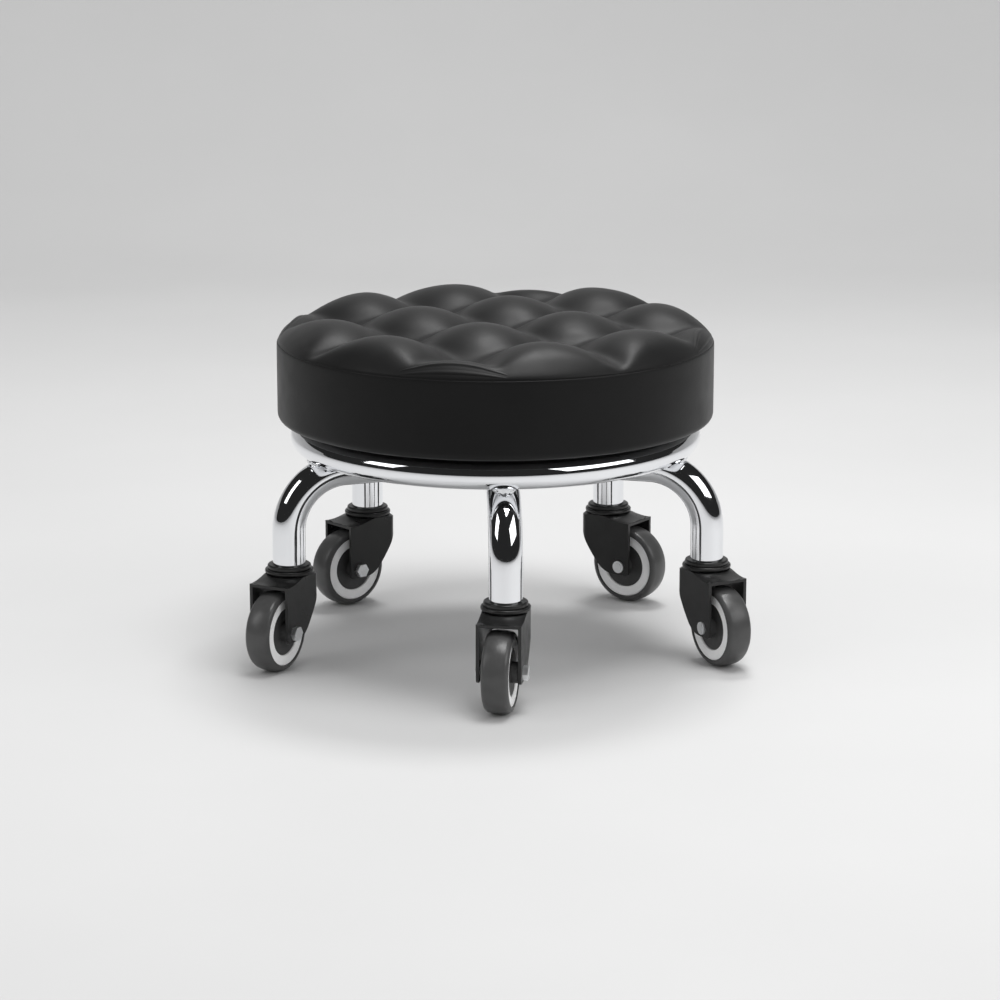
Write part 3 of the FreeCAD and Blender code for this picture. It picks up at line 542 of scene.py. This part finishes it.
def capped(was, now):
    """The way from was to now, eased so that it stays under the swell's cap."""
    way = now - was
    if way.length == 0.0:
        return was
    return was + way * (SWELL_CAP * math.tanh(way.length / SWELL_CAP) / way.length)


def seat_pad():
    """The tufted top as a closed form, with a wall down inside the band and a flat foot on the board."""
    points, faces, border = disc_grid(SEAT_RADIUS - SKIN / 2)
    verts = swollen_cover(points, faces)
    top_faces = list(faces)
    inside = (SEAT_RADIUS - 2 * SKIN) / (SEAT_RADIUS - SKIN / 2)
    foot_level = BOARD_TOP + FOOT_CLEARANCE
    above = border
    wall = [
        (1.0, SEAT_RIM - SKIN / 2),
        (inside, SEAT_RIM - 2 * SKIN),
        (inside, (SEAT_RIM + BOARD_TOP) / 2),
        (inside, foot_level),
    ]
    for share, level in wall:
        below = []
        for index in border:
            below.append(len(verts))
            verts.append(Vector((points[index][0] * share, points[index][1] * share, level)))
        for step in range(len(border)):
            after = (step + 1) % len(border)
            faces.append((above[after], above[step], below[step], below[after]))
        above = below
    foot = dict(zip(border, above))
    for index, (x, y) in enumerate(points):
        if index not in foot:
            foot[index] = len(verts)
            verts.append(Vector((x * inside, y * inside, foot_level)))
    for face in top_faces:
        faces.append(tuple(foot[index] for index in reversed(face)))
    pad = add_piece("seat_pad", verts, faces, SLOT_MATERIALS["vinyl"], "seat")
    subdivide(pad, 1)
    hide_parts("seat_top_cover", "seat_foam")
    return pad


def seat_band():
    """The upright band: sewn to the top at a tight seam, rounded at the foot and folded under the board."""
    section = [(SEAT_RADIUS - inset, SEAT_RIM - drop) for inset, drop in BAND_UPPER]
    section.append((SEAT_RADIUS, SEAT_BOTTOM + BAND_FOOT_ROUND + BAND_FOOT_LEAD))
    for step in range(BAND_FOOT_STEPS + 1):
        angle = math.pi / 2 * step / BAND_FOOT_STEPS
        section.append((
            SEAT_RADIUS - BAND_FOOT_ROUND + BAND_FOOT_ROUND * math.cos(angle),
            SEAT_BOTTOM + BAND_FOOT_ROUND - BAND_FOOT_ROUND * math.sin(angle),
        ))
    section += [(SEAT_RADIUS - inset, SEAT_BOTTOM + rise) for inset, rise in BAND_FOLD]
    verts = []
    for radius, level in section:
        for step in range(BAND_SEGMENTS):
            angle = 2 * math.pi * step / BAND_SEGMENTS
            verts.append((radius * math.cos(angle), radius * math.sin(angle), level))
    faces = [tuple(reversed(face)) for face in ring_faces(len(section), BAND_SEGMENTS, closed=True)]
    band = add_piece("seat_band", verts, faces, SLOT_MATERIALS["vinyl"], "seat")
    subdivide(band, 1)
    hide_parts("seat_side_band")


def corner_pleats(pad):
    """Spare vinyl in a double fold along the rim, where the corner tufts run off the edge."""
    surface = BVHTree.FromObject(pad, bpy.context.evaluated_depsgraph_get())
    above_pad = SEAT_RIM + 3 * CROWN_RISE
    down = Vector((0.0, 0.0, -1.0))
    count = len(PLEAT_SECTION)
    strip = ring_faces(PLEAT_STEPS + 1, count)
    strip.append(tuple(range(count - 1, -1, -1)))
    strip.append(tuple(range(PLEAT_STEPS * count, (PLEAT_STEPS + 1) * count)))
    verts = []
    faces = []
    for tuft_x, tuft_y, *_ in TUFTS:
        if math.hypot(tuft_x, tuft_y) < SEAT_RADIUS:
            continue
        middle = math.atan2(tuft_y, tuft_x)
        first = len(verts)
        for step in range(PLEAT_STEPS + 1):
            across = 2 * step / PLEAT_STEPS - 1
            fullness = math.cos(math.pi / 2 * across)
            width = PLEAT_END_WIDTH + (1.0 - PLEAT_END_WIDTH) * fullness
            angle = middle + PLEAT_SPREAD * across
            edge = SEAT_RADIUS - PLEAT_END_INSET - (PLEAT_INSET - PLEAT_END_INSET) * fullness
            for outward, height in PLEAT_SECTION:
                reach = edge + outward * width
                x = reach * math.cos(angle)
                y = reach * math.sin(angle)
                level = surface.ray_cast(Vector((x, y, above_pad)), down)[0].z
                verts.append((x, y, level + height * math.sqrt(fullness) - PLEAT_SINK))
        faces += [tuple(first + index for index in face) for face in strip]
    pleats = add_piece("corner_pleats", verts, faces, SLOT_MATERIALS["vinyl"], "seat")
    subdivide(pleats, 1)


corner_pleats(seat_pad())
seat_band()


# Frame welds

RING_LOW, RING_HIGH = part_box("ring")
RING_TUBE = (RING_HIGH.z - RING_LOW.z) / 2
RING_LEVEL = RING_LOW.z + RING_TUBE
RING_RADIUS = RING_HIGH.x - RING_TUBE
LEG_COUNT = 5
FIRST_LEG = math.radians(-90.0)
WELD_RADIUS = 8.6 * MM
WELD_LEAN = math.radians(21.0)
WELD_SUBDIVISIONS = 5
WELD_LUMP_SIZE = 3.2 * MM
WELD_LUMP_HEIGHT = 0.9 * MM


def ring_welds():
    """Lumpy chromed beads where the ring rests on the legs' bends."""
    form = bmesh.new()
    away = RING_RADIUS - RING_TUBE * math.sin(WELD_LEAN)
    level = RING_LEVEL - RING_TUBE * math.cos(WELD_LEAN)
    for index in range(LEG_COUNT):
        angle = FIRST_LEG + 2 * math.pi / LEG_COUNT * index
        centre = Vector((away * math.cos(angle), away * math.sin(angle), level))
        made = bmesh.ops.create_icosphere(form, subdivisions=WELD_SUBDIVISIONS, radius=WELD_RADIUS)
        for vert in made["verts"]:
            outward = vert.co.normalized()
            place = vert.co + centre
            coarse = cloud.noise(place / WELD_LUMP_SIZE)
            fine = cloud.noise(place / (WELD_LUMP_SIZE / 2))
            vert.co = centre + outward * (WELD_RADIUS + WELD_LUMP_HEIGHT * (coarse + fine / 2))
    mesh = bpy.data.meshes.new("weld_beads")
    form.to_mesh(mesh)
    form.free()
    mesh.shade_smooth()
    mesh.materials.append(SLOT_MATERIALS["weld"])
    welds = bpy.data.objects.new("weld_beads", mesh)
    scene.collection.objects.link(welds)
    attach(welds, "base")
    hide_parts("ring_welds")


ring_welds()


# Casters

BOSS_RADIUS = 7.5 * MM
BOSS_SLEEVE = 0.5 * MM
BOSS_START = 8.4 * MM
BOSS_END = 14.2 * MM
BOSS_SEGMENTS = 48
BOSS_SHARP = math.radians(30.0)
EDGE_BREAK = 0.5 * MM
EDGE_BREAK_STEPS = 2
FORK_ROOF_DEPTH = 7.0 * MM
FORK_SHARP = math.radians(35.0)
FORK_FLAT = math.radians(0.5)
SAME_POINT = 0.001 * MM
CASTERS = range(1, LEG_COUNT + 1)
WHEEL_JOINTS = {joint["child"]: joint for joint in frame["joints"]}


def turned(section, centre, axis, count):
    """A closed section of (radius, way along the axis) turned about the axis: its points and faces."""
    axis = Vector(axis).normalized()
    across = axis.orthogonal().normalized()
    upward = axis.cross(across)
    verts = []
    for radius, along in section:
        for step in range(count):
            angle = 2 * math.pi * step / count
            spoke = across * math.cos(angle) + upward * math.sin(angle)
            verts.append(Vector(centre) + axis * along + spoke * radius)
    return verts, ring_faces(len(section), count, closed=True)


def boss_sleeves(index):
    """Dark sleeves on the core's hub, between the hub covers and the fork."""
    name = f"boss_sleeves_{index}"
    body = f"wheel_{index}"
    joint = WHEEL_JOINTS[body]
    outside = BOSS_RADIUS + BOSS_SLEEVE
    verts = []
    faces = []
    for side in (-1, 1):
        section = [
            (BOSS_RADIUS, side * BOSS_START),
            (outside, side * BOSS_START),
            (outside, side * (BOSS_END - BOSS_SLEEVE)),
            (BOSS_RADIUS, side * BOSS_END),
        ]
        if side > 0:
            section.reverse()
        side_verts, side_faces = turned(section, joint["pos_m"], joint["axis"], BOSS_SEGMENTS)
        faces += [tuple(len(verts) + corner for corner in face) for face in side_faces]
        verts += side_verts
    sleeves = add_piece(name, verts, faces, SLOT_MATERIALS["hub_plastic"], body)
    sleeves.data.set_sharp_from_angle(angle=BOSS_SHARP)


def rounded_fork(index):
    """The pressed fork with the edges of its side plates broken, as finished sheet metal has them."""
    node = f"caster_fork_{index}"
    source = frame["nodes"][node]
    low_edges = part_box(node)[1].z - FORK_ROOF_DEPTH
    form = bmesh.new()
    form.from_mesh(source.data)
    form.transform(source.matrix_world)
    bmesh.ops.remove_doubles(form, verts=form.verts, dist=SAME_POINT)
    bmesh.ops.dissolve_limit(form, angle_limit=FORK_FLAT, verts=form.verts, edges=form.edges)
    broken = []
    for edge in form.edges:
        below_roof = max(vert.co.z for vert in edge.verts) < low_edges
        if below_roof and edge.is_manifold and edge.calc_face_angle() > FORK_SHARP:
            broken.append(edge)
    bmesh.ops.bevel(
        form,
        geom=broken,
        offset=EDGE_BREAK,
        offset_type="OFFSET",
        segments=EDGE_BREAK_STEPS,
        profile=0.5,
        affect="EDGES",
        clamp_overlap=False,
    )
    mesh = bpy.data.meshes.new(f"rounded_fork_{index}")
    form.to_mesh(mesh)
    form.free()
    mesh.shade_smooth()
    mesh.set_sharp_from_angle(angle=FORK_SHARP)
    mesh.materials.append(SLOT_MATERIALS["black_steel"])
    fork = bpy.data.objects.new(f"rounded_fork_{index}", mesh)
    scene.collection.objects.link(fork)
    normals = fork.modifiers.new("flat_plates", "WEIGHTED_NORMAL")
    normals.keep_sharp = True
    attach(fork, f"fork_{index}")
    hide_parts(node)


for number in CASTERS:
    boss_sleeves(number)
    rounded_fork(number)


# Studio, in metres and watts

FLOOR_HALF_WIDTH = 7.0
FLOOR_FRONT = -7.0
FLOOR_BEND_START = 1.7
FLOOR_BEND_RADIUS = 1.2
FLOOR_BEND_STEPS = 24
SEAT_AIM = (0.0, 0.0, 0.25)
LEGS_AIM = (0.0, 0.0, 0.2)


def studio_floor():
    """A pale floor that curves up behind."""
    profile = [(FLOOR_FRONT, 0.0)]
    for step in range(FLOOR_BEND_STEPS + 1):
        angle = math.pi / 2 * step / FLOOR_BEND_STEPS
        y = FLOOR_BEND_START + FLOOR_BEND_RADIUS * math.sin(angle)
        z = FLOOR_BEND_RADIUS * (1.0 - math.cos(angle))
        profile.append((y, z))
    verts = [(side * FLOOR_HALF_WIDTH, y, z) for y, z in profile for side in (-1, 1)]
    faces = [(2 * row, 2 * row + 1, 2 * row + 3, 2 * row + 2) for row in range(len(profile) - 1)]
    mesh = bpy.data.meshes.new("studio_floor")
    mesh.from_pydata(verts, [], faces)
    mesh.shade_smooth()
    material = new_material("studio_floor", gray(0.53), roughness=0.7)
    vary_color(material, noise(material, 400 * MM), gray(0.52), gray(0.54))
    mesh.materials.append(material)
    floor = bpy.data.objects.new("studio_floor", mesh)
    scene.collection.objects.link(floor)


def studio_world(light, seen, mirrored):
    """A room that lights the object evenly, looks pale behind it and is dark in reflections."""
    world = bpy.data.worlds.new("studio")
    scene.world = world
    world.use_nodes = True
    tree = world.node_tree
    tree.nodes.clear()
    output = tree.nodes.new("ShaderNodeOutputWorld")
    path = tree.nodes.new("ShaderNodeLightPath")
    shown = tree.nodes.new("ShaderNodeBackground")
    shown.inputs["Strength"].default_value = light
    strengths = {"Is Glossy Ray": mirrored, "Is Camera Ray": seen, "Is Transmission Ray": seen}
    for ray, strength in strengths.items():
        other = tree.nodes.new("ShaderNodeBackground")
        other.inputs["Strength"].default_value = strength
        mix = tree.nodes.new("ShaderNodeMixShader")
        tree.links.new(path.outputs[ray], mix.inputs["Fac"])
        tree.links.new(shown.outputs[0], mix.inputs[1])
        tree.links.new(other.outputs[0], mix.inputs[2])
        shown = mix
    for node in tree.nodes:
        if node.type == "BACKGROUND":
            node.inputs["Color"].default_value = (1.0, 1.0, 1.0, 1.0)
    tree.links.new(shown.outputs[0], output.inputs["Surface"])


def softbox(name, at, aim, width, height, power):
    light = bpy.data.lights.new(name, "AREA")
    light.shape = "RECTANGLE"
    light.size = width
    light.size_y = height
    light.energy = power
    lamp = bpy.data.objects.new(name, light)
    lamp.location = at
    lamp.rotation_euler = (Vector(aim) - Vector(at)).to_track_quat("-Z", "Y").to_euler()
    scene.collection.objects.link(lamp)


def photo_camera():
    """The photograph's viewpoint, from the fit of the seat, ring, legs and casters."""
    distance = 2.548
    above_rim = 0.4786
    heading = math.radians(-2.55)
    turn_aside = math.radians(0.08)
    dip = math.radians(13.42)
    sensor = 36.0
    focal_share = 3.3287
    camera = bpy.data.cameras.new("photo_camera")
    camera.sensor_width = sensor
    camera.lens = sensor * focal_share
    holder = bpy.data.objects.new("photo_camera", camera)
    holder.location = (distance * math.sin(heading), -distance * math.cos(heading), SEAT_RIM + above_rim)
    holder.rotation_euler = (math.pi / 2 - dip, 0.0, heading - turn_aside)
    scene.collection.objects.link(holder)
    scene.camera = holder


studio_floor()
studio_world(light=0.65, seen=0.85, mirrored=0.02)
softbox("overhead", at=(0.3, -0.35, 2.2), aim=SEAT_AIM, width=0.9, height=0.9, power=25.0)
softbox("back_top", at=(0.25, 0.75, 2.0), aim=SEAT_AIM, width=0.55, height=0.4, power=19.0)
softbox("back_wide", at=(0.0, 2.3, 1.65), aim=SEAT_AIM, width=3.0, height=1.3, power=6.0)
softbox("right_side", at=(1.70, -1.06, 1.40), aim=LEGS_AIM, width=1.8, height=1.1, power=15.0)
softbox("left_side", at=(-1.88, -0.68, 1.45), aim=LEGS_AIM, width=0.8, height=1.2, power=7.0)
photo_camera()
